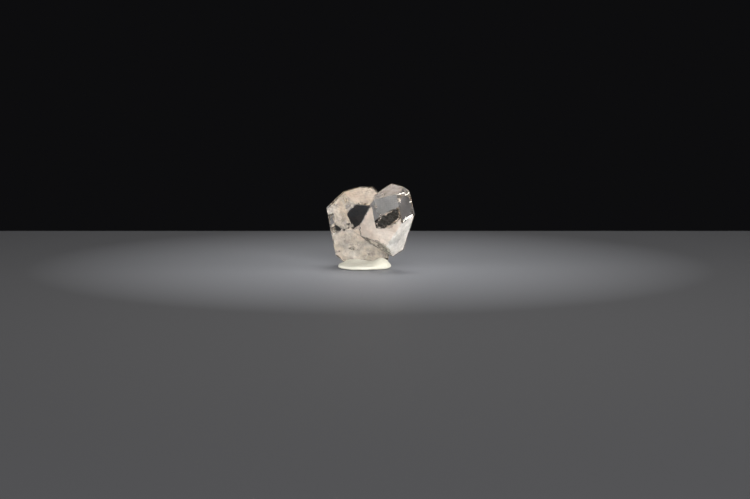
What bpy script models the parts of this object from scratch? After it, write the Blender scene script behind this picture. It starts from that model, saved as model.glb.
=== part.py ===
# Two clear quartz crystals grown into one another, seated in a small pad of mounting putty
import math

import bmesh
import bpy
from mathutils import Vector

# Driving dimensions, in millimetres and degrees
MM = 0.001

# Quartz: angle from the long axis to the normal of each pointed end face, and the sides of its prism
END_FACE_ANGLE = 51.79
PRISM_SIDES = 6
ROUGH_BLOCK = 26.0

# Left crystal: its middle, the way its long axis points, and how far each face lies from the middle
LEFT_MIDDLE = (-2.29, 0.12, 5.25)
LEFT_AXIS_LEAN = 49.2
LEFT_AXIS_HEADING = -174.1
LEFT_SPIN = 173.5
LEFT_SIDE_FACES = (5.85, 2.50, 5.60, 4.40, 0.95, 6.45)
LEFT_UPPER_END_FACES = (5.70, 3.20, 3.65, 2.90, 2.10, 4.45)
LEFT_LOWER_END_FACES = (4.05, 3.20, 4.50, 4.95, 4.35, 4.35)

# Right crystal: the same values
RIGHT_MIDDLE = (3.06, -1.68, 6.25)
RIGHT_AXIS_LEAN = 75.9
RIGHT_AXIS_HEADING = -11.2
RIGHT_SPIN = 84.3
RIGHT_SIDE_FACES = (1.80, 5.30, 4.30, 2.75, 4.15, 3.65)
RIGHT_UPPER_END_FACES = (0.80, 3.85, 4.85, 3.20, 2.40, 5.20)
RIGHT_LOWER_END_FACES = (2.30, 2.95, 4.20, 3.40, 3.70, 3.70)

# Putty pad: middle of its flat underside, size across, front to back and up, and its pressed-up lumps
PUTTY_MIDDLE = (-0.79, 0.22)
PUTTY_WIDTH = 6.7
PUTTY_DEPTH = 6.4
PUTTY_HEIGHT = 0.72
PUTTY_BULGE = 0.30
PUTTY_SIDES = 56
PUTTY_RINGS = 28
PUTTY_EDGE_WAVES = ((2, 0.035, 0.6), (3, 0.030, 2.1), (5, 0.022, 4.4), (9, 0.010, 1.0))
# below 1 the pad's top is flatter than a ball's
PUTTY_ROUNDNESS = 0.6
# each lump: place in the pad's plan, spread, rise
PUTTY_LUMPS = ((2.45, -1.15, 1.25, 1.15), (-1.2, 2.3, 1.5, 0.60), (-2.6, 0.2, 0.9, 0.15))
PUTTY_SMOOTH_ANGLE = 40.0
SEAT_GAP = 0.03

# Finishes: colour, roughness, transmission and index of refraction
QUARTZ_FINISH = ((0.98, 0.96, 0.92), 0.02, 1.0, 1.544)
PUTTY_FINISH = ((0.80, 0.79, 0.68), 0.75, 0.0, 1.5)


def new_collection(name):
    collection = bpy.data.collections.new(name)
    bpy.context.scene.collection.children.link(collection)
    return collection


def new_object(name, bm, collection):
    mesh = bpy.data.meshes.new(name)
    bm.to_mesh(mesh)
    bm.free()
    obj = bpy.data.objects.new(name, mesh)
    collection.objects.link(obj)
    return obj


def finish_material(name, colour, roughness, transmission, ior):
    material = bpy.data.materials.new(name)
    material.use_nodes = True
    shader = material.node_tree.nodes["Principled BSDF"]
    shader.inputs["Base Color"].default_value = (*colour, 1.0)
    shader.inputs["Roughness"].default_value = roughness
    shader.inputs["Metallic"].default_value = 0.0
    shader.inputs["Transmission Weight"].default_value = transmission
    shader.inputs["IOR"].default_value = ior
    return material


def cut_flat(bm, point, normal):
    # slice off what lies past the plane and close the cut with one flat face
    everything = bm.verts[:] + bm.edges[:] + bm.faces[:]
    cut = bmesh.ops.bisect_plane(bm, geom=everything, plane_co=point, plane_no=normal, clear_outer=True)
    rim = [item for item in cut["geom_cut"] if isinstance(item, bmesh.types.BMEdge)]
    if rim:
        bmesh.ops.contextual_create(bm, geom=rim)


def crystal_faces(spin, sides, upper, lower):
    # every flat face of one crystal as its normal in the crystal's own frame and its distance
    tilt = math.radians(END_FACE_ANGLE)
    faces = []
    for index in range(PRISM_SIDES):
        turn = math.radians(spin + index * 360.0 / PRISM_SIDES)
        outward = Vector((math.cos(turn), math.sin(turn), 0.0))
        faces.append((outward, sides[index]))
        up = Vector((0.0, 0.0, math.cos(tilt)))
        faces.append((outward * math.sin(tilt) + up, upper[index]))
        faces.append((outward * math.sin(tilt) - up, lower[index]))
    return faces


def cut_crystal(name, collection, middle, lean, heading, faces, grow=0.0):
    # a rough block, cut flat once for each crystal face, then leaned and turned into place
    bm = bmesh.new()
    bmesh.ops.create_cube(bm, size=ROUGH_BLOCK * MM)
    for normal, distance in faces:
        cut_flat(bm, normal * (distance + grow) * MM, normal)
    bmesh.ops.recalc_face_normals(bm, faces=bm.faces[:])
    crystal = new_object(name, bm, collection)
    crystal.location = Vector(middle) * MM
    crystal.rotation_euler = (0.0, math.radians(lean), math.radians(heading))
    return crystal


def putty_pad(name, collection):
    # a pressed ball: wavy round the edge, bulging a little past its flat underside, lumpy on top
    bm = bmesh.new()
    bmesh.ops.create_uvsphere(bm, u_segments=PUTTY_SIDES, v_segments=PUTTY_RINGS, radius=1.0)
    for vert in bm.verts:
        around = math.atan2(vert.co.y, vert.co.x)
        wave = 1.0 + sum(size * math.sin(count * around + start) for count, size, start in PUTTY_EDGE_WAVES)
        x = vert.co.x * wave * PUTTY_WIDTH / 2
        y = vert.co.y * wave * PUTTY_DEPTH / 2
        flat_top = math.copysign(abs(vert.co.z) ** PUTTY_ROUNDNESS, vert.co.z)
        lift = 0.0
        for lump_x, lump_y, spread, rise in PUTTY_LUMPS:
            lift += rise * math.exp(-((x - lump_x) ** 2 + (y - lump_y) ** 2) / spread ** 2)
        top = PUTTY_HEIGHT - PUTTY_BULGE + lift * max(flat_top, 0.0)
        z = PUTTY_BULGE + top * flat_top
        vert.co = Vector((x, y, z)) * MM
    cut_flat(bm, Vector((0.0, 0.0, 0.0)), Vector((0.0, 0.0, -1.0)))
    bmesh.ops.recalc_face_normals(bm, faces=bm.faces[:])
    pad = new_object(name, bm, collection)
    pad.location = Vector((*PUTTY_MIDDLE, 0.0)) * MM
    pad.data.shade_smooth()
    pad.data.set_sharp_from_angle(angle=math.radians(PUTTY_SMOOTH_ANGLE))
    return pad


def boolean(target, cutter, operation):
    modifier = target.modifiers.new(f"{operation.lower()} {cutter.name}", "BOOLEAN")
    modifier.operation = operation
    modifier.solver = "EXACT"
    modifier.object = cutter
    cutter.hide_render = True
    cutter.display_type = "WIRE"


def main():
    for obj in list(bpy.data.objects):
        bpy.data.objects.remove(obj)
    parts = new_collection("quartz_crystal_pair")
    cutters = new_collection("cutters")

    left_faces = crystal_faces(LEFT_SPIN, LEFT_SIDE_FACES, LEFT_UPPER_END_FACES, LEFT_LOWER_END_FACES)
    right_faces = crystal_faces(RIGHT_SPIN, RIGHT_SIDE_FACES, RIGHT_UPPER_END_FACES, RIGHT_LOWER_END_FACES)
    left_place = (LEFT_MIDDLE, LEFT_AXIS_LEAN, LEFT_AXIS_HEADING)
    right_place = (RIGHT_MIDDLE, RIGHT_AXIS_LEAN, RIGHT_AXIS_HEADING)

    crystal = cut_crystal("crystal", parts, *left_place, left_faces)
    right = cut_crystal("right_crystal", cutters, *right_place, right_faces)
    boolean(crystal, right, "UNION")
    crystal.data.materials.append(finish_material("clear quartz", *QUARTZ_FINISH))

    pad = putty_pad("mounting_putty", parts)
    boolean(pad, cut_crystal("left_seat", cutters, *left_place, left_faces, SEAT_GAP), "DIFFERENCE")
    boolean(pad, cut_crystal("right_seat", cutters, *right_place, right_faces, SEAT_GAP), "DIFFERENCE")
    pad.data.materials.append(finish_material("mounting putty", *PUTTY_FINISH))


main()
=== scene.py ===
import math

import bmesh
import bpy
import numpy as np
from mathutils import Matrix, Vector
from mathutils.bvhtree import BVHTree
from mathutils.geometry import delaunay_2d_cdt
from mathutils.kdtree import KDTree


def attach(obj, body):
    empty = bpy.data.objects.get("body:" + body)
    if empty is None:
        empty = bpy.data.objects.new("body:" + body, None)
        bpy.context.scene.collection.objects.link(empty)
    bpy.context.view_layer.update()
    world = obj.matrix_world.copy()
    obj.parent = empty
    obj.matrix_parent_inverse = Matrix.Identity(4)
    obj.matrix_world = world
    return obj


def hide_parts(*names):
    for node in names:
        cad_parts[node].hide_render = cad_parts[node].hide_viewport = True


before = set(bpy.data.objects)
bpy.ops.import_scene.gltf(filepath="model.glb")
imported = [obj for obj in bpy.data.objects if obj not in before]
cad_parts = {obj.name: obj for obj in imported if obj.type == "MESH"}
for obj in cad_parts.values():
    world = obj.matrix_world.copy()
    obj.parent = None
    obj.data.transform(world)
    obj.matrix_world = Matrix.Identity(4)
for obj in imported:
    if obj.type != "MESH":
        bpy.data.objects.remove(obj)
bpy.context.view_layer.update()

MM = 0.001

# Quartz: how far its end faces lean from the long axis, and how strongly it bends light
END_FACE_ANGLE = 51.79
QUARTZ_IOR = 1.544
QUARTZ_TINT = (0.80, 0.60, 0.36)
QUARTZ_TINT_DEPTH = 26.0

# Long axes of the two crystals, as lean from upright and compass turn, in degrees
LEFT_AXIS = (49.2, -174.1)
RIGHT_AXIS = (75.9, -11.2)

# Crystal skin, in millimetres and degrees; a flat face at one of quartz's own angles gets growth relief
CORNER_MERGE = 0.01
FLAT_ANGLE = 1.5
FACE_ANGLE_MISS = 1.0
SMALLEST_GROWTH_FACE = 0.25
EDGE_WEAR = 0.022
SKIN_GRID = 0.085
GRID_ROW = 0.866
GRID_TO_RIM = 0.55
RELIEF_FADE = 0.22
SKIN_MERGE = 0.0005
SKIN_SLIVER = 0.0002
SKIN_SHARP_ANGLE = 14.0

# Random waves that all relief and all ragged edges are made of: how many, how far their lengths spread,
# and the height at which they are cut off
WAVES = 9
FEW_WAVES = 5
FEWEST_WAVES = 4
WAVE_SPREAD = (0.6, 1.6)
WAVE_TOP = 1.6
MOST_SEEDS = 1000000

# Growth lines across the prism sides: rise, how much of it is taken back, width, spacing, waviness, and
# how much of a line is left where it is faint
LINE_SEED = 40
LINE_RISE = 0.0045
LINE_RETURN = 0.25
LINE_WIDTH = (0.03, 0.10)
LINE_SPACING = (0.10, 0.62)
LINE_BEND = 0.10
LINE_BEND_SIZE = 3.5
LINE_REACH_SIZE = 2.6
LINE_PATCHES = 0.9
LINE_FAINT = 0.35

# Growth plates on the end faces: rise, levels, size and ragged edge, and a fine grain
PLATE_SEED = 90
PLATE_RISE = 0.005
PLATE_LEVELS = 2.2
PLATE_SIZE = 5.5
PLATE_RAGGED = 0.35
PLATE_RAGGED_SIZE = 1.3
PLATE_EDGE = 0.10
PLATE_GRAIN = 0.0007
PLATE_GRAIN_SIZE = 0.9

# Camera: the photograph's viewing angle
CAMERA_PLACE = (0.58, -532.52, 66.9)
CAMERA_DOWN = 6.9
CAMERA_LENS = 197.7
SENSOR = 36.0
CAMERA_SEES = (0.01, 10.0)

# How far the camera looks down, for turning the picture's up into up and back
SIN_DOWN = math.sin(math.radians(CAMERA_DOWN))
COS_DOWN = math.cos(math.radians(CAMERA_DOWN))

# Outlines of the clear parts as the camera sees them: across and up, in millimetres
LEFT_WINDOW = (
    (-1.55, 8.38), (-0.15, 8.15), (-0.82, 6.69), (-1.11, 6.04),
    (-2.02, 5.39), (-3.05, 6.97), (-2.51, 7.69),
)
RIGHT_WINDOW = (
    (3.61, 7.85), (3.83, 6.5), (2.43, 5.5), (1.4, 5.25), (0.79, 5.38), (1.14, 6.15), (1.65, 6.84),
)
# where the right crystal's front face gets a painted grey sheen
RIGHT_PAINTED_SHEEN_AREA = ((0.8, 9.7), (4.05, 9.7), (3.8, 7.9), (1.6, 6.75), (0.55, 7.2), (0.35, 8.6))
RIGHT_GREY_FACET = ((4.12, 9.38), (5.3, 9.12), (5.79, 6.83), (5.14, 7.06), (4.07, 5.98), (3.81, 8.14))
RIGHT_LOW_AREA = (
    (0.3, 5.6), (1.4, 5.2), (2.5, 5.45), (3.85, 6.5), (4.6, 6.6), (4.6, 1.0), (0.3, 1.0),
)

# Lines of sight kept clear behind them: spacing, width and its raggedness, and how many faces they meet
WINDOW_STEP = 0.12
WAY_STEP = 0.12
WAY_WIDTH = 0.15
WAY_RAGGED = 0.06
WAY_RAGGED_SIZE = 0.8
WAY_SEED = 5
RAY_NUDGE = 1e-6
FACES_MET = 2

# Painted shade: a dark sheet behind the right window that stands in for the shade seen through it, and
# the pale haze on its far side
WAY_TO_SHADE_SHEET = 1.0
SHADE_SHEET_DEPTH = 0.50
SHADE_SHEET_BACKING_DEPTH = 0.72
SHADE_SHEET_FILL = 1.30
SHADE_SHEET_SEED = 321
SHADE_SHEET_SOFT_EDGE = 0.08

# Healed cracks inside the crystal and hazes behind its faces; each wave is a share and a size
VEIL_GRID = 0.055
VEIL_MARGIN = 0.10
VEIL_THICKNESS = 0.008
VEIL_SOFTNESS = 0.55
CLOUD_WAVES = ((0.60, 2.4), (0.30, 0.8), (0.18, 0.28))
VEIL_BEND_SIZE = 4.5
VEIL_RIPPLE = (0.12, 0.9)
VEIL_RAGGED_RIM = (0.2, 1.5)
VEIL_RIM_REACH = 1.15
VEIL_RIM_FADE = 0.6
HAZE_DEPTH_WAVES = ((0.35, 2.0), (0.10, 0.4))
HAZE_EDGE_SHIFT = (0.10, 0.8)
HAZE_SOFT_EDGE = 0.25
HAZE_EDGE_SEEDS = (15, 16)
HAZE_LEAST_DEPTH = 0.5
PLANE_WEIGHT = 4.0

# Where each crack and haze lies: which of the finishes below it has, and its own numbers
VEILS = (
    # name, finish, spot, facing, size, bend, cover, seed
    ("veil_left_front", "healed", (-2.26, 0.68, 3.4), (-0.30, -0.84, -0.45), 4.2, 0.35, 0.62, 11),
    ("veil_left_middle", "healed", (-2.56, 1.98, 3.6), (-0.10, -0.90, -0.30), 4.0, 0.5, 0.55, 21),
    ("veil_left_side", "healed", (-4.56, 0.38, 6.2), (-0.75, -0.45, 0.40), 2.8, 0.3, 0.60, 31),
    ("veil_corner", "healed", (0.34, -1.22, 5.0), (-0.6, -0.8, 0.0), 2.6, 0.25, 0.60, 51),
    ("veil_right_front", "healed", (2.64, -3.22, 4.2), (-0.1, -0.95, -0.2), 2.4, 0.3, 0.62, 61),
    ("veil_right_low", "frost", (4.14, -2.42, 4.4), (0.55, -0.65, -0.45), 2.6, 0.3, 0.60, 71),
    ("veil_right_top", "warm", (2.44, -2.82, 9.6), (0.0, -0.5, 0.85), 2.4, 0.25, 0.45, 81),
    ("veil_foot", "healed", (0.34, 0.58, 2.6), (0.3, -0.8, 0.3), 2.6, 0.3, 0.55, 91),
    ("veil_back", "healed", (-1.16, 2.58, 4.2), (0.2, 0.9, 0.3), 3.0, 0.4, 0.45, 101),
    ("veil_frosty_patch", "frost", (-3.76, -0.57, 7.4), (-0.705, -0.708, 0.05), 1.0, 0.05, 0.72, 111),
    ("stain_left_top", "stain", (-1.96, -0.42, 9.1), (-0.19, -0.74, 0.64), 1.5, 0.1, 0.60, 121),
    ("stain_streak", "stain", (-0.86, 0.18, 3.0), (-0.3, -0.8, -0.4), 1.1, 0.1, 0.45, 131),
    ("stain_right_top", "stain", (4.34, -2.42, 9.4), (0.2, -0.7, 0.6), 1.1, 0.1, 0.45, 141),
)
RIGHT_FRONT_SPOT = (1.9, -4.35, 8.3)
HAZES = (
    # name, finish, then for each face: a spot near it, depth behind it, cover, seed, the part it fills
    # painted grey sheen: an even grey sheet just behind the right front face, standing in for the sheen
    # that face shows
    ("painted_grey_sheen", "painted_sheen", (
        (RIGHT_FRONT_SPOT, 0.12, 1.3, 201, RIGHT_PAINTED_SHEEN_AREA),
    )),
    ("haze_rosy", "rose", (
        (RIGHT_FRONT_SPOT, 0.18, 1.15, 211, RIGHT_LOW_AREA),
        ((0.3, -3.5, 5.6), 0.18, 1.25, 221, None),
    )),
    ("haze_warm", "warm", (
        ((-1.2, -2.4, 9.4), 0.16, 1.10, 251, None),
    )),
    ("haze_dusky", "dusk", (
        ((2.6, -3.8, 10.1), 0.16, 1.10, 261, None),
    )),
    ("haze_beige", "healed", (
        ((-2.8, -0.9, 4.0), 0.30, 1.10, 231, None),
        ((-4.6, -0.8, 7.2), 0.25, 1.00, 241, None),
        ((-2.9, 3.0, 5.5), 0.35, 0.62, 271, None),
        ((3.3, -0.5, 5.6), 0.35, 0.60, 281, None),
        ((1.9, 0.9, 3.6), 0.30, 0.60, 291, None),
        ((-5.3, 2.4, 4.6), 0.30, 0.60, 301, None),
    )),
    ("haze_white", "frost", (
        ((4.6, -2.9, 4.6), 0.14, 1.20, 311, None),
    )),
)

# Patterns of the finishes: scale, detail, roughness, and the part of the noise that is spread out
CRACK_CLOUD = (800.0, 4.0, 0.55, 0.36, 0.66)
CRACK_TINT = (420.0, 3.0, 0.55, 0.34, 0.66)
CRACK_ROUGHNESS = 0.55
SPECK_SHADE = (2500.0, 1.0, 0.5, 0.4, 0.6)
SPECK_DIM = 0.75

# Finishes of the cracks, the hazes, the painted grey sheen and the painted shade sheet: name, light and
# dark tint, how solid where thin and where thick
CRACK_FINISHES = {
    "healed": ("healed cracks", (0.97, 0.94, 0.90), (0.86, 0.76, 0.65), 0.30, 0.85),
    "frost": ("frosty cracks", (1.0, 1.0, 0.98), (0.95, 0.92, 0.88), 0.45, 0.98),
    "stain": ("iron stain", (0.66, 0.52, 0.34), (0.46, 0.40, 0.26), 0.10, 0.55),
    # painted sheen: an even grey that stands in for the sheen on the right front face
    "painted_sheen": ("painted grey sheen", (0.33, 0.33, 0.33), (0.29, 0.29, 0.295), 0.88, 0.96),
    "rose": ("rosy cracks", (0.90, 0.83, 0.77), (0.80, 0.70, 0.62), 0.72, 0.96),
    "warm": ("warm haze", (0.88, 0.80, 0.72), (0.74, 0.62, 0.52), 0.55, 0.85),
    "dusk": ("dusky haze", (0.72, 0.68, 0.68), (0.62, 0.55, 0.48), 0.30, 0.60),
    # painted shade: a near-black sheet put where the right window only shows shade
    "painted_shade": ("painted shade sheet", (0.022, 0.021, 0.020), (0.042, 0.038, 0.033), 0.97, 1.0),
}

# Small hollows and grains along the cracks: the sheets that carry them reach a little further
SPECK_GRID = 0.11
SPECK_REACH = 0.18
SPECK_MOST_COVER = 0.95
SPECK_FLATNESS = (1.0, 0.7, 0.35)
SPECKS = (
    # name, count per square millimetre, smallest, largest, seed, finish, colour, roughness
    ("hollow_specks", 16.0, 0.008, 0.030, 3, "bright hollows", (0.97, 0.95, 0.91), 0.25),
    ("dark_specks", 0.5, 0.015, 0.055, 4, "dark grains", (0.10, 0.085, 0.05), 0.5),
)

# Putty skin, in millimetres
PUTTY_MERGE = 0.001
PUTTY_GRID = 0.075
# each wave pressed into it: height, size, seed
PUTTY_WAVES = ((0.045, 2.2, 7), (0.018, 0.7, 8), (0.004, 0.25, 9))
PUTTY_FOOT = 0.08
PUTTY_FOOT_FADE = 0.25
PUTTY_LIP = 0.16
PUTTY_LIP_REACH = 0.40
PUTTY_SHARP_ANGLE = 50.0
SEAT_GAP = 0.012
PUTTY_PALE = (0.52, 0.515, 0.46)
PUTTY_DULL = (0.46, 0.455, 0.39)
PUTTY_BLOTCH = (420.0, 4.0, 0.6)
PUTTY_BLOTCH_SPREAD = (0.30, 0.70)
PUTTY_GRAIN = (4200.0, 3.0, 0.6)
PUTTY_ROUGHNESS = (0.50, 0.30)
PUTTY_SPECULAR = 0.35
PUTTY_BUMP = (0.00002, 0.5)

# Floor: a slab that ends a little behind the crystal, with a painted pool of light: pale near the
# crystal, fading to dark further out
FLOOR_HALF_WIDTH = 200.0
FLOOR_FRONT = -560.0
FLOOR_BACK = 42.0
FLOOR_POOL_LIT_REACH = 9.0
FLOOR_POOL_DARK_REACH = 45.0
FLOOR_POOL_LIT = (0.20, 0.21, 0.235)
FLOOR_POOL_DARK = (0.045, 0.047, 0.053)
FLOOR_ROUGHNESS = 0.6

# Studio: each soft light's place, size, power, colour and spread, all aimed at the crystal's middle
LIGHTS = (
    ("top box", (10.0, 40.0, 190.0), (110.0, 110.0), 0.045, (1.0, 0.97, 0.92), 75.0),
    ("left box", (-300.0, -190.0, 40.0), (260.0, 160.0), 1.8, (1.0, 0.97, 0.93), 180.0),
    ("right box", (290.0, -110.0, 30.0), (240.0, 140.0), 1.9, (1.0, 0.97, 0.93), 180.0),
    ("front box", (60.0, -420.0, 190.0), (300.0, 150.0), 2.0, (1.0, 0.98, 0.95), 180.0),
)
LIGHT_AIM = (0.0, 0.0, 5.5)
STUDIO_DARK = (0.004, 0.004, 0.0045)
LIGHT_BOUNCES = 24

# Places of a Mix node's two colours among its inputs, and of its mixed colour among its outputs
MIX_FIRST = 6
MIX_SECOND = 7
MIX_RESULT = 2


class Value:
    """One output in a material's nodes, used in plain arithmetic."""

    def __init__(self, finish, socket):
        self.finish = finish
        self.socket = socket

    def worked_out(self, operation, other):
        return self.finish.node("ShaderNodeMath", {"operation": operation}, {0: self, 1: other})

    def __add__(self, other):
        return self.worked_out("ADD", other)

    __radd__ = __add__

    def __mul__(self, other):
        return self.worked_out("MULTIPLY", other)

    __rmul__ = __mul__


class Finish:
    """The nodes of one material."""

    def __init__(self, name):
        self.material = bpy.data.materials.new(name)
        self.material.use_nodes = True
        self.tree = self.material.node_tree
        self.shader = self.tree.nodes["Principled BSDF"]
        self.output = self.tree.nodes["Material Output"]

    def node(self, kind, settings=None, inputs=None, output=0):
        node = self.tree.nodes.new(kind)
        for name, setting in (settings or {}).items():
            setattr(node, name, setting)
        for name, value in (inputs or {}).items():
            self.feed(node.inputs[name], value)
        return Value(self, node.outputs[output])

    def feed(self, socket, value):
        if isinstance(value, Value):
            self.tree.links.new(value.socket, socket)
        else:
            socket.default_value = value

    def set(self, name, value):
        self.feed(self.shader.inputs[name], value)

    def place(self):
        return self.node("ShaderNodeTexCoord", output="Object")

    def noise(self, vector, scale, detail, roughness):
        inputs = {"Vector": vector, "Scale": scale, "Detail": detail, "Roughness": roughness}
        return self.node("ShaderNodeTexNoise", {"noise_dimensions": "3D"}, inputs)

    def pattern(self, scale, detail, roughness, low, high):
        return self.spread(self.noise(self.place(), scale, detail, roughness), low, high)

    def spread(self, value, low, high):
        inputs = {"Value": value, "From Min": low, "From Max": high}
        return self.node("ShaderNodeMapRange", {"clamp": True}, inputs)

    def blend(self, factor, first, second):
        inputs = {"Factor": factor, MIX_FIRST: (*first, 1.0), MIX_SECOND: (*second, 1.0)}
        return self.node("ShaderNodeMix", {"data_type": "RGBA"}, inputs, MIX_RESULT)

    def bump(self, height, depth, strength):
        inputs = {"Height": height, "Distance": depth, "Strength": strength}
        return self.node("ShaderNodeBump", None, inputs)


def new_piece(name, mesh):
    piece = bpy.data.objects.new(name, mesh)
    bpy.context.scene.collection.objects.link(piece)
    return piece


def merged_copy(node, distance):
    # the node's loose triangles, joined up and with its flat faces whole again
    bm = bmesh.new()
    bm.from_mesh(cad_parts[node].data)
    bmesh.ops.remove_doubles(bm, verts=bm.verts[:], dist=distance * MM)
    flat = math.radians(FLAT_ANGLE)
    bmesh.ops.dissolve_limit(bm, angle_limit=flat, verts=bm.verts[:], edges=bm.edges[:])
    return bm


def wander(points, size, seed, waves=WAVES):
    # smooth random field from -1 to 1: a few waves that run in random directions
    chance = np.random.default_rng(seed)
    total = np.zeros(len(points))
    for _ in range(waves):
        way = chance.normal(size=points.shape[1])
        way *= chance.uniform(*WAVE_SPREAD) * math.tau / (size * np.linalg.norm(way))
        total += np.sin(points @ way + chance.uniform(0.0, math.tau))
    return np.clip(total / math.sqrt(waves / 2.0) / WAVE_TOP, -1.0, 1.0)


def ease(value):
    value = np.clip(value, 0.0, 1.0)
    return value * value * (3.0 - 2.0 * value)


def axis_of(lean, heading):
    lean, heading = math.radians(lean), math.radians(heading)
    out = math.sin(lean)
    return Vector((out * math.cos(heading), out * math.sin(heading), math.cos(lean)))


def kind_of_face(normal):
    # which crystal a face belongs to and whether it is a side of its prism, by the quartz angles
    found = None
    for axis in (axis_of(*LEFT_AXIS), axis_of(*RIGHT_AXIS)):
        lean = math.degrees(normal.angle(axis))
        for kind, angle in (("end", END_FACE_ANGLE), ("side", 90.0), ("end", 180.0 - END_FACE_ANGLE)):
            miss = abs(lean - angle)
            if found is None or miss < found[0]:
                found = (miss, kind, axis)
    return found


def growth_lines(along, across, seed):
    # low steps that run across a prism side, as quartz grows them
    chance = np.random.default_rng(seed)
    height = np.zeros(len(along))
    place = along.min()
    level = 0.0
    while place < along.max():
        rise = chance.uniform(-LINE_RISE, LINE_RISE)
        width = chance.uniform(*LINE_WIDTH)
        bend_seed, patch_seed = (int(chance.integers(MOST_SEEDS)) for _ in range(2))
        bend = LINE_BEND * wander(across[:, None], LINE_BEND_SIZE, bend_seed, FEWEST_WAVES)
        patches = wander(across[:, None], LINE_REACH_SIZE, patch_seed, FEWEST_WAVES)
        reach = LINE_FAINT + (1.0 - LINE_FAINT) * ease(0.5 + LINE_PATCHES * patches)
        step = rise - LINE_RETURN * level
        height += step * reach * ease((along - place - bend) / width)
        level += step
        place += chance.uniform(*LINE_SPACING)
    return height


def growth_plates(flat, seed):
    # low plates with rounded outlines, as quartz grows them on its end faces
    field = PLATE_LEVELS * wander(flat, PLATE_SIZE, seed, FEW_WAVES)
    field = field + PLATE_RAGGED * wander(flat, PLATE_RAGGED_SIZE, seed + 1)
    steps = np.floor(field)
    grain = PLATE_GRAIN * wander(flat, PLATE_GRAIN_SIZE, seed + 2)
    return PLATE_RISE * (steps + ease((field - steps) / PLATE_EDGE)) + grain


def edge_distance(flat, corners):
    # distance of each point to the outline of its face
    nearest = np.full(len(flat), 1e9)
    for start, end in zip(corners, np.roll(corners, -1, axis=0)):
        run = end - start
        part = np.clip((flat - start) @ run / (run @ run), 0.0, 1.0)
        nearest = np.minimum(nearest, np.linalg.norm(flat - start - part[:, None] * run, axis=1))
    return nearest


def inside(flat, corners):
    odd = np.zeros(len(flat), bool)
    for (x0, y0), (x1, y1) in zip(corners, np.roll(corners, -1, axis=0)):
        crosses = (flat[:, 1] < y0) != (flat[:, 1] < y1)
        with np.errstate(divide="ignore", invalid="ignore"):
            odd ^= crosses & (flat[:, 0] < x0 + (flat[:, 1] - y0) * (x1 - x0) / (y1 - y0))
    return odd


def outline_points(corners):
    # the outline with points every grid step, the same from both faces that share an edge
    points = []
    for start, end in zip(corners, np.roll(corners, -1, axis=0)):
        count = max(1, math.ceil(np.linalg.norm(end - start) / SKIN_GRID))
        points.extend(start + (end - start) * step / count for step in range(count))
    return np.array(points)


def face_frame(normal, axis):
    # two directions in a face's plane: across the crystal, and up along its long axis
    up = np.array(axis) - normal * (np.array(axis) @ normal)
    up /= np.linalg.norm(up)
    return np.stack([np.cross(up, normal), up], axis=1)


def inner_grid(flat_corners):
    # points in rows, every other row shifted by half a step, that keep a little away from the outline
    low, high = flat_corners.min(0), flat_corners.max(0)
    rows = []
    for row, y in enumerate(np.arange(low[1], high[1], SKIN_GRID * GRID_ROW)):
        xs = np.arange(low[0] + (row % 2) * SKIN_GRID / 2, high[0], SKIN_GRID)
        rows.append(np.stack([xs, np.full(len(xs), y)], axis=1))
    grid = np.concatenate(rows)
    grid = grid[inside(grid, flat_corners)]
    return grid[edge_distance(grid, flat_corners) > SKIN_GRID * GRID_TO_RIM]


def growth_relief(flat, flat_corners, kind, index):
    fade = ease(edge_distance(flat, flat_corners) / RELIEF_FADE)
    if kind == "side":
        return growth_lines(flat[:, 1], flat[:, 0], LINE_SEED + index) * fade
    return growth_plates(flat, PLATE_SEED + index) * fade


def facing_up(triangle, flat):
    a, b, c = (flat[i] for i in triangle[:3])
    turn = (b[0] - a[0]) * (c[1] - a[1]) - (b[1] - a[1]) * (c[0] - a[0])
    return triangle if turn > 0 else triangle[::-1]


def skin_of_face(face, index):
    # one face's fine mesh: its points in millimetres and its triangles
    normal = np.array(face.normal)
    corners = np.array([vert.co / MM for vert in face.verts])
    miss, kind, axis = kind_of_face(face.normal)
    basis = face_frame(normal, axis)
    origin = corners[0]
    rim3 = outline_points(corners)
    flat_corners = (corners - origin) @ basis
    rim = (rim3 - origin) @ basis
    grows = miss < FACE_ANGLE_MISS and face.calc_area() > SMALLEST_GROWTH_FACE * MM * MM
    flat = np.concatenate([rim, inner_grid(flat_corners)]) if grows else rim
    edges = [(i, (i + 1) % len(rim)) for i in range(len(rim))]
    made = delaunay_2d_cdt([Vector(p) for p in flat], edges, [list(range(len(rim)))], 1, 1e-7)
    made_flat = np.array([tuple(p) for p in made[0]])
    height = np.zeros(len(made_flat))
    if grows:
        height = growth_relief(made_flat, flat_corners, kind, index)
    solid = origin + made_flat @ basis.T + height[:, None] * normal
    for spot, sources in zip(solid, made[3]):
        if sources and min(sources) < len(rim3):
            spot[:] = rim3[min(sources)]
    return solid, [facing_up(triangle, made_flat) for triangle in made[2]]


def closed_up(mesh):
    # join the faces' skins along their shared rims and close the last gaps between them
    bm = bmesh.new()
    bm.from_mesh(mesh)
    bmesh.ops.remove_doubles(bm, verts=bm.verts[:], dist=SKIN_MERGE * MM)
    bmesh.ops.dissolve_degenerate(bm, edges=bm.edges[:], dist=SKIN_SLIVER * MM)
    bmesh.ops.holes_fill(bm, edges=[edge for edge in bm.edges if edge.is_boundary], sides=0)
    bmesh.ops.triangulate(bm, faces=bm.faces[:])
    bm.to_mesh(mesh)
    bm.free()


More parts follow.
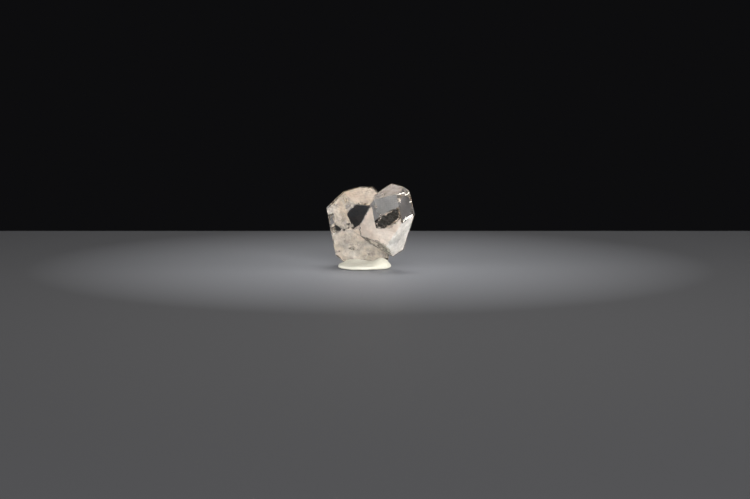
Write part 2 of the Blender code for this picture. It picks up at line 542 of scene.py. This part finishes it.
def crystal_skin():
    # every flat face gets a fine mesh of its own and its growth relief, which fades out at its edges
    bm = merged_copy("crystal", CORNER_MERGE)
    bmesh.ops.bevel(
        bm,
        geom=bm.edges[:],
        offset=EDGE_WEAR * MM,
        segments=1,
        affect="EDGES",
        clamp_overlap=True,
        profile=0.5,
    )
    places, faces = [], []
    count = 0
    for index, face in enumerate(bm.faces):
        solid, triangles = skin_of_face(face, index)
        places.append(solid)
        faces.extend([count + i for i in triangle] for triangle in triangles)
        count += len(solid)
    bm.free()
    mesh = bpy.data.meshes.new("crystal_skin")
    mesh.from_pydata((np.concatenate(places) * MM).tolist(), [], faces)
    closed_up(mesh)
    mesh.shade_smooth()
    mesh.set_sharp_from_angle(angle=math.radians(SKIN_SHARP_ANGLE))
    return new_piece("crystal_skin", mesh)


def crystal_tree():
    # for finding how deep a point lies inside the crystal
    bm = merged_copy("crystal", CORNER_MERGE)
    tree = BVHTree.FromBMesh(bm)
    bm.free()
    return tree


def depth_inside(tree, points):
    depths = np.empty(len(points))
    for index, point in enumerate(points):
        spot, normal, _, distance = tree.find_nearest(Vector(point) * MM)
        outside = (Vector(point) * MM - spot).dot(normal) > 0.0
        depths[index] = -distance / MM if outside else distance / MM
    return depths


def seen_from_front(points):
    # where a point shows on the picture plane, without the bend at the front face
    return np.stack([points[:, 0], points[:, 1] * SIN_DOWN + points[:, 2] * COS_DOWN], axis=1)


def light_way(tree, across, up):
    # the line of sight inside the crystal as its turning points: bent at the first face, and mirrored
    # once at the next where it can't leave there
    start = Vector(CAMERA_PLACE) * MM
    way = (Vector((across, up * SIN_DOWN, up * COS_DOWN)) * MM - start).normalized()
    spot, normal, _, _ = tree.ray_cast(start, way)
    if spot is None:
        return []
    lean = -way.dot(normal)
    root = math.sqrt(1.0 - (1.0 - lean * lean) / QUARTZ_IOR**2)
    way = way / QUARTZ_IOR + normal * (lean / QUARTZ_IOR - root)
    turns = [spot]
    for _ in range(FACES_MET):
        reached, normal, _, _ = tree.ray_cast(turns[-1] + way * RAY_NUDGE, way)
        if reached is None:
            break
        turns.append(reached)
        lean = way.dot(normal)
        if QUARTZ_IOR**2 * (1.0 - lean * lean) < 1.0:
            break
        way = way - 2.0 * lean * normal
    return turns


def window_places(outline):
    corners = np.array(outline)
    low, high = corners.min(0), corners.max(0)
    steps = [np.arange(low[side], high[side], WINDOW_STEP) for side in (0, 1)]
    across, up = np.meshgrid(*steps)
    places = np.stack([across.ravel(), up.ravel()], axis=1)
    return places[inside(places, corners)]


def spot_tree(spots):
    found = KDTree(len(spots))
    for index, spot in enumerate(spots):
        found.insert(spot, index)
    found.balance()
    return found


def clear_ways(tree):
    # everything the eye passes behind the clear windows, for keeping the cracks out of its way; behind
    # the right window it ends on a dark sheet of painted shade, which itself keeps only out of the other
    # two
    passed, passed_beside_shade_sheet = [], []
    for outline in (LEFT_WINDOW, RIGHT_GREY_FACET, RIGHT_WINDOW):
        for place in window_places(outline):
            turns = light_way(tree, *place)
            for start, end in zip(turns, turns[1:]):
                steps = max(2, int((end - start).length / MM / WAY_STEP))
                way = [start.lerp(end, step / steps) for step in range(steps + 1)]
                if outline is RIGHT_WINDOW:
                    passed.extend(spot for spot in way if (spot - turns[0]).length < WAY_TO_SHADE_SHEET * MM)
                else:
                    passed.extend(way)
                    passed_beside_shade_sheet.extend(way)
    return spot_tree(passed), spot_tree(passed_beside_shade_sheet)


def in_clear_way(ways, points):
    away = np.array([ways.find(Vector(point) * MM)[2] for point in points]) / MM
    return away < WAY_WIDTH + WAY_RAGGED * wander(points, WAY_RAGGED_SIZE, WAY_SEED)


def sheet_mesh(name, points, shape, keep, share):
    # a grid of points as one thin sheet, with the squares that lost a corner left out
    grid = np.arange(shape[0] * shape[1]).reshape(shape)
    around = [grid[:-1, :-1], grid[1:, :-1], grid[1:, 1:], grid[:-1, 1:]]
    quads = np.stack(around, axis=-1).reshape(-1, 4)
    quads = quads[keep[quads].all(axis=1)]
    used, renamed = np.unique(quads, return_inverse=True)
    mesh = bpy.data.meshes.new(name)
    mesh.from_pydata((points[used] * MM).tolist(), [], renamed.reshape(-1, 4).tolist())
    crack_share = mesh.attributes.new("crack_share", "FLOAT", "POINT")
    crack_share.data.foreach_set("value", share[used].astype(np.float32))
    return mesh


def waves_of(flat, waves, seed):
    return sum(share * wander(flat, size, seed + step) for step, (share, size) in enumerate(waves))


def crack_cover(flat, cover, seed):
    # where a ragged sheet has cracks, and how closely they stand there
    over = waves_of(flat, CLOUD_WAVES, seed) - 1.0 + 2.0 * cover
    return over > 0.0, ease(over / VEIL_SOFTNESS)


def veil(tree, ways, name, spot, facing, size, bend, cover, seed, step=VEIL_GRID):
    # one healed crack: a thin wavy sheet with ragged gaps, kept inside the crystal
    turn = np.array(Vector(facing).normalized().to_track_quat("Z", "Y").to_matrix())
    steps = np.arange(-size, size + step, step)
    a, b = np.meshgrid(steps, steps, indexing="ij")
    flat = np.stack([a.ravel(), b.ravel()], axis=1)
    ripple, ripple_size = VEIL_RIPPLE
    lift = bend * wander(flat, VEIL_BEND_SIZE, seed)
    lift = lift + ripple * bend * wander(flat, ripple_size, seed + 1)
    points = np.array(spot) + np.column_stack([flat, lift]) @ turn.T
    keep, share = crack_cover(flat, cover, seed + 2)
    away = np.linalg.norm(flat, axis=1)
    ragged, ragged_size = VEIL_RAGGED_RIM
    keep &= away < size * (1.0 + ragged * wander(flat, ragged_size, seed + 5))
    keep[keep] = depth_inside(tree, points[keep]) > VEIL_MARGIN
    keep[keep] = ~in_clear_way(ways, points[keep])
    share = share * ease((VEIL_RIM_REACH * size - away) / VEIL_RIM_FADE)
    return sheet_mesh(name, points, a.shape, keep, share)


def face_near(faces, spot):
    # the crystal's flat face whose plane and middle lie nearest to a spot
    spot = Vector(spot) * MM

    def miss(face):
        off_plane = abs((spot - face.verts[0].co).dot(face.normal))
        return PLANE_WEIGHT * off_plane + (spot - face.calc_center_median()).length

    return min(faces, key=miss)


def face_haze(tree, ways, name, face, depth, cover, seed, within=None, soft_edge=HAZE_SOFT_EDGE):
    # fine cracks just behind one face, following it, with ragged gaps
    normal = np.array(face.normal)
    corners = np.array([vert.co / MM for vert in face.verts])
    side = corners[1] - corners[0]
    side /= np.linalg.norm(side)
    basis = np.stack([side, np.cross(normal, side)], axis=1)
    outline = (corners - corners[0]) @ basis
    low, high = outline.min(0), outline.max(0)
    steps = [np.arange(low[way], high[way], VEIL_GRID) for way in (0, 1)]
    a, b = np.meshgrid(*steps, indexing="ij")
    flat = np.stack([a.ravel(), b.ravel()], axis=1)
    sink = depth * (1.0 + waves_of(flat, HAZE_DEPTH_WAVES, seed + 7))
    points = corners[0] + flat @ basis.T - sink[:, None] * normal
    keep, share = crack_cover(flat, cover, seed)
    keep &= inside(flat, outline)
    if within is not None:
        shift, shift_size = HAZE_EDGE_SHIFT
        shifts = [wander(points, shift_size, own_seed) for own_seed in HAZE_EDGE_SEEDS]
        seen = seen_from_front(points) + shift * np.stack(shifts, axis=1)
        keep &= inside(seen, np.array(within))
        share = share * ease(edge_distance(seen, np.array(within)) / soft_edge)
    keep[keep] = depth_inside(tree, points[keep]) > HAZE_LEAST_DEPTH * depth
    keep[keep] = ~in_clear_way(ways, points[keep])
    return sheet_mesh(name, points, a.shape, keep, share)


def quartz_finish():
    quartz = Finish("clear quartz")
    quartz.set("Base Color", (1.0, 1.0, 1.0, 1.0))
    quartz.set("Transmission Weight", 1.0)
    quartz.set("IOR", QUARTZ_IOR)
    quartz.set("Roughness", 0.0)
    tint = quartz.tree.nodes.new("ShaderNodeVolumeAbsorption")
    tint.inputs["Color"].default_value = (*QUARTZ_TINT, 1.0)
    tint.inputs["Density"].default_value = QUARTZ_TINT_DEPTH
    quartz.tree.links.new(tint.outputs["Volume"], quartz.output.inputs["Volume"])
    return quartz.material


def crack_finish(name, light_tint, dark_tint, thin, thick):
    # a cloud of tiny hollows: whiter and denser in places, almost gone in others
    cracks = Finish(name)
    cracks.set("Base Color", cracks.blend(cracks.pattern(*CRACK_TINT), light_tint, dark_tint))
    cracks.set("Roughness", CRACK_ROUGHNESS)
    cloud = cracks.pattern(*CRACK_CLOUD)
    share = cracks.node("ShaderNodeAttribute", {"attribute_name": "crack_share"}, output="Fac")
    cracks.set("Alpha", share * (thin + (thick - thin) * cloud))
    return cracks.material


def speck_finish(name, colour, roughness):
    speck = Finish(name)
    dim = tuple(SPECK_DIM * part for part in colour)
    speck.set("Base Color", speck.blend(speck.pattern(*SPECK_SHADE), colour, dim))
    speck.set("Roughness", roughness)
    return speck.material


def specks_tree():
    # scatters small flattened grains over the faces of a sheet
    tree = bpy.data.node_groups.new("specks", "GeometryNodeTree")
    sockets = {}
    for name, kind in (
        ("Sheet", "NodeSocketGeometry"),
        ("Specks per square metre", "NodeSocketFloat"),
        ("Smallest", "NodeSocketFloat"),
        ("Largest", "NodeSocketFloat"),
        ("Seed", "NodeSocketInt"),
        ("Finish", "NodeSocketMaterial"),
    ):
        sockets[name] = tree.interface.new_socket(name, in_out="INPUT", socket_type=kind).identifier
    tree.interface.new_socket("Specks", in_out="OUTPUT", socket_type="NodeSocketGeometry")
    add = tree.nodes.new
    link = tree.links.new
    given = add("NodeGroupInput").outputs
    spread = add("GeometryNodeDistributePointsOnFaces")
    grain = add("GeometryNodeMeshIcoSphere")
    grain.inputs["Radius"].default_value = 1.0
    grain.inputs["Subdivisions"].default_value = 1
    flatten = add("GeometryNodeTransform")
    flatten.inputs["Scale"].default_value = SPECK_FLATNESS
    size = add("FunctionNodeRandomValue")
    turn = add("FunctionNodeRandomValue")
    turn.data_type = "FLOAT_VECTOR"
    turn.inputs[1].default_value = (math.tau, math.tau, math.tau)
    place = add("GeometryNodeInstanceOnPoints")
    solid = add("GeometryNodeRealizeInstances")
    painted = add("GeometryNodeSetMaterial")
    result = add("NodeGroupOutput")
    link(given["Sheet"], spread.inputs["Mesh"])
    link(given["Specks per square metre"], spread.inputs["Density"])
    link(given["Seed"], spread.inputs["Seed"])
    link(given["Smallest"], size.inputs[2])
    link(given["Largest"], size.inputs[3])
    link(given["Seed"], size.inputs["Seed"])
    link(given["Seed"], turn.inputs["Seed"])
    link(grain.outputs["Mesh"], flatten.inputs["Geometry"])
    link(spread.outputs["Points"], place.inputs["Points"])
    link(flatten.outputs["Geometry"], place.inputs["Instance"])
    link(turn.outputs[0], place.inputs["Rotation"])
    link(size.outputs[1], place.inputs["Scale"])
    link(place.outputs["Instances"], solid.inputs["Geometry"])
    link(solid.outputs["Geometry"], painted.inputs["Geometry"])
    link(given["Finish"], painted.inputs["Material"])
    link(painted.outputs["Geometry"], result.inputs["Specks"])
    return tree, sockets


def scatter_specks(sheet, group, sockets, name, per_square_mm, smallest, largest, seed, finish):
    source = new_piece(name + "_source", sheet)
    scatter = source.modifiers.new("specks", "NODES")
    scatter.node_group = group
    scatter[sockets["Specks per square metre"]] = per_square_mm / MM**2
    scatter[sockets["Smallest"]] = smallest * MM
    scatter[sockets["Largest"]] = largest * MM
    scatter[sockets["Seed"]] = seed
    scatter[sockets["Finish"]] = finish
    grown = source.evaluated_get(bpy.context.evaluated_depsgraph_get())
    mesh = bpy.data.meshes.new_from_object(grown)
    mesh.name = name
    bpy.data.objects.remove(source)
    return new_piece(name, mesh)


def joined(sheets, name):
    bm = bmesh.new()
    for sheet in sheets:
        bm.from_mesh(sheet)
    mesh = bpy.data.meshes.new(name)
    bm.to_mesh(mesh)
    bm.free()
    return mesh


def vectors_of(items, attribute):
    values = np.empty(len(items) * 3, np.float32)
    items.foreach_get(attribute, values)
    return values.reshape(-1, 3).astype(float)


def pressed_putty(tree):
    # the pad with thumb-pressed hollows, pushed up a little where it grips the crystal
    bm = merged_copy("mounting_putty", PUTTY_MERGE)
    mesh = bpy.data.meshes.new("putty_pad")
    bm.to_mesh(mesh)
    bm.free()
    pad = new_piece("putty_pad", mesh)
    remesh = pad.modifiers.new("even grid", "REMESH")
    remesh.mode = "VOXEL"
    remesh.voxel_size = PUTTY_GRID * MM
    apply_modifiers(pad)
    mesh = pad.data
    spots = vectors_of(mesh.vertices, "co") / MM
    normals = vectors_of(mesh.vertex_normals, "vector")
    press = sum(height * wander(spots, size, seed) for height, size, seed in PUTTY_WAVES)
    above = ease((spots[:, 2] - PUTTY_FOOT) / PUTTY_FOOT_FADE)
    near = np.abs(depth_inside(tree, spots))
    lip = PUTTY_LIP * np.exp(-((near / PUTTY_LIP_REACH) ** 2)) * ease(normals[:, 2])
    spots += normals * (press * above)[:, None]
    spots[:, 2] += lip * above
    spots[:, 2] = np.maximum(spots[:, 2], 0.0)
    mesh.vertices.foreach_set("co", (spots * MM).astype(np.float32).ravel())
    mesh.update()
    return pad


def apply_modifiers(piece):
    done = bpy.data.meshes.new_from_object(piece.evaluated_get(bpy.context.evaluated_depsgraph_get()))
    piece.modifiers.clear()
    piece.data = done


def cut_seat(pad):
    # take away what the crystal fills, with a hair's gap
    bm = merged_copy("crystal", CORNER_MERGE)
    for vert in bm.verts:
        vert.co += vert.normal * SEAT_GAP * MM
    mesh = bpy.data.meshes.new("seat")
    bm.to_mesh(mesh)
    bm.free()
    cutter = new_piece("seat", mesh)
    cut = pad.modifiers.new("seat", "BOOLEAN")
    cut.operation = "DIFFERENCE"
    cut.solver = "EXACT"
    cut.object = cutter
    apply_modifiers(pad)
    bpy.data.objects.remove(cutter)
    pad.data.shade_smooth()
    pad.data.set_sharp_from_angle(angle=math.radians(PUTTY_SHARP_ANGLE))


def putty_finish():
    putty = Finish("mounting putty")
    place = putty.place()
    blotch = putty.noise(place, *PUTTY_BLOTCH)
    grain = putty.noise(place, *PUTTY_GRAIN)
    blotches = putty.spread(blotch, *PUTTY_BLOTCH_SPREAD)
    smoothest, more = PUTTY_ROUGHNESS
    putty.set("Base Color", putty.blend(blotches, PUTTY_PALE, PUTTY_DULL))
    putty.set("Roughness", smoothest + more * grain)
    putty.set("Specular IOR Level", PUTTY_SPECULAR)
    putty.set("Normal", putty.bump(0.6 * grain + 0.4 * blotch, *PUTTY_BUMP))
    return putty.material


def make_floor():
    mesh = bpy.data.meshes.new("floor")
    corners = [
        (-FLOOR_HALF_WIDTH, FLOOR_FRONT, 0.0),
        (FLOOR_HALF_WIDTH, FLOOR_FRONT, 0.0),
        (FLOOR_HALF_WIDTH, FLOOR_BACK, 0.0),
        (-FLOOR_HALF_WIDTH, FLOOR_BACK, 0.0),
    ]
    mesh.from_pydata([Vector(c) * MM for c in corners], [], [(0, 1, 2, 3)])
    floor = new_piece("floor", mesh)
    paper = Finish("floor with painted light pool")
    # painted pool of light: the floor's colour fades from pale near the crystal to dark further out
    away = paper.node("ShaderNodeVectorMath", {"operation": "LENGTH"}, {0: paper.place()}, "Value")
    shade = paper.spread(away, FLOOR_POOL_LIT_REACH * MM, FLOOR_POOL_DARK_REACH * MM)
    paper.set("Base Color", paper.blend(shade, FLOOR_POOL_LIT, FLOOR_POOL_DARK))
    paper.set("Roughness", FLOOR_ROUGHNESS)
    mesh.materials.append(paper.material)


def soft_light(name, place, size, power, colour, spread):
    light = bpy.data.lights.new(name, "AREA")
    light.shape = "RECTANGLE"
    light.size, light.size_y = size[0] * MM, size[1] * MM
    light.energy = power
    light.color = colour
    light.spread = math.radians(spread)
    lamp = bpy.data.objects.new(name, light)
    lamp.location = Vector(place) * MM
    aim = Vector(LIGHT_AIM) * MM - lamp.location
    lamp.rotation_euler = aim.to_track_quat("-Z", "Y").to_euler()
    bpy.context.scene.collection.objects.link(lamp)


def make_camera():
    data = bpy.data.cameras.new("camera")
    data.lens = CAMERA_LENS
    data.sensor_width = SENSOR
    data.clip_start, data.clip_end = CAMERA_SEES
    camera = bpy.data.objects.new("camera", data)
    camera.location = Vector(CAMERA_PLACE) * MM
    camera.rotation_euler = (math.radians(90.0 - CAMERA_DOWN), 0.0, 0.0)
    bpy.context.scene.collection.objects.link(camera)
    bpy.context.scene.camera = camera


def set_world():
    world = bpy.data.worlds.new("dark studio")
    world.use_nodes = True
    world.node_tree.nodes["Background"].inputs["Color"].default_value = (*STUDIO_DARK, 1.0)
    scene = bpy.context.scene
    scene.world = world
    scene.view_settings.view_transform = "Standard"
    scene.cycles.max_bounces = LIGHT_BOUNCES
    scene.cycles.transmission_bounces = LIGHT_BOUNCES
    scene.cycles.transparent_max_bounces = LIGHT_BOUNCES


def make_studio():
    make_camera()
    set_world()
    make_floor()
    for light in LIGHTS:
        soft_light(*light)


def place_crystal():
    crystal = crystal_skin()
    crystal.data.materials.append(quartz_finish())
    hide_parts("crystal")
    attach(crystal, "root")


def place_sheet(name, mesh, finish):
    # a sheet of cracks inside the crystal, given its hair of thickness
    piece = new_piece(name, mesh)
    mesh.materials.append(finish)
    thick = piece.modifiers.new("thickness", "SOLIDIFY")
    thick.thickness = VEIL_THICKNESS * MM
    thick.offset = 0.0
    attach(piece, "root")


def place_veils(tree, ways, finishes):
    # the healed cracks; the sheets that carry the specks are handed on
    speck_sheets = []
    for name, finish, *lie, cover, seed in VEILS:
        place_sheet(name, veil(tree, ways, name, *lie, cover, seed), finishes[finish])
        wider = min(cover + SPECK_REACH, SPECK_MOST_COVER)
        speck_sheets.append(veil(tree, ways, name, *lie, wider, seed, SPECK_GRID))
    return speck_sheets


def place_hazes(tree, ways, faces, finishes):
    for name, finish, patches in HAZES:
        sheets = []
        for spot, *lie in patches:
            sheets.append(face_haze(tree, ways, name, face_near(faces, spot), *lie))
        place_sheet(name, joined(sheets, name), finishes[finish])


def place_painted_shade_sheet(tree, ways, faces, finishes):
    # a dark sheet of painted shade behind the right window, where the crystal only shows shade, with a
    # rosy haze behind it
    face = face_near(faces, RIGHT_FRONT_SPOT)
    for name, finish, depth in (
        ("painted_shade_sheet", "painted_shade", SHADE_SHEET_DEPTH),
        ("shade_sheet_backing", "rose", SHADE_SHEET_BACKING_DEPTH),
    ):
        lie = (depth, SHADE_SHEET_FILL, SHADE_SHEET_SEED, RIGHT_WINDOW, SHADE_SHEET_SOFT_EDGE)
        place_sheet(name, face_haze(tree, ways, name, face, *lie), finishes[finish])


def place_specks(sheets):
    group, sockets = specks_tree()
    pieces = []
    for name, *sizes, finish, colour, roughness in SPECKS:
        sheet = joined(sheets, name)
        look = speck_finish(finish, colour, roughness)
        pieces.append(scatter_specks(sheet, group, sockets, name, *sizes, look))
    for piece in pieces:
        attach(piece, "root")


def fill_crystal(tree):
    # everything that lies inside the crystal
    finishes = {key: crack_finish(*look) for key, look in CRACK_FINISHES.items()}
    ways, ways_beside_shade_sheet = clear_ways(tree)
    speck_sheets = place_veils(tree, ways, finishes)
    shape = merged_copy("crystal", CORNER_MERGE)
    place_hazes(tree, ways, shape.faces, finishes)
    # the dark sheet of painted shade behind the right window
    place_painted_shade_sheet(tree, ways_beside_shade_sheet, shape.faces, finishes)
    shape.free()
    place_specks(speck_sheets)


def place_putty(tree):
    pad = pressed_putty(tree)
    cut_seat(pad)
    pad.data.materials.clear()
    pad.data.materials.append(putty_finish())
    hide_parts("mounting_putty")
    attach(pad, "root")


make_studio()
place_crystal()
crystal_shape = crystal_tree()
fill_crystal(crystal_shape)
place_putty(crystal_shape)
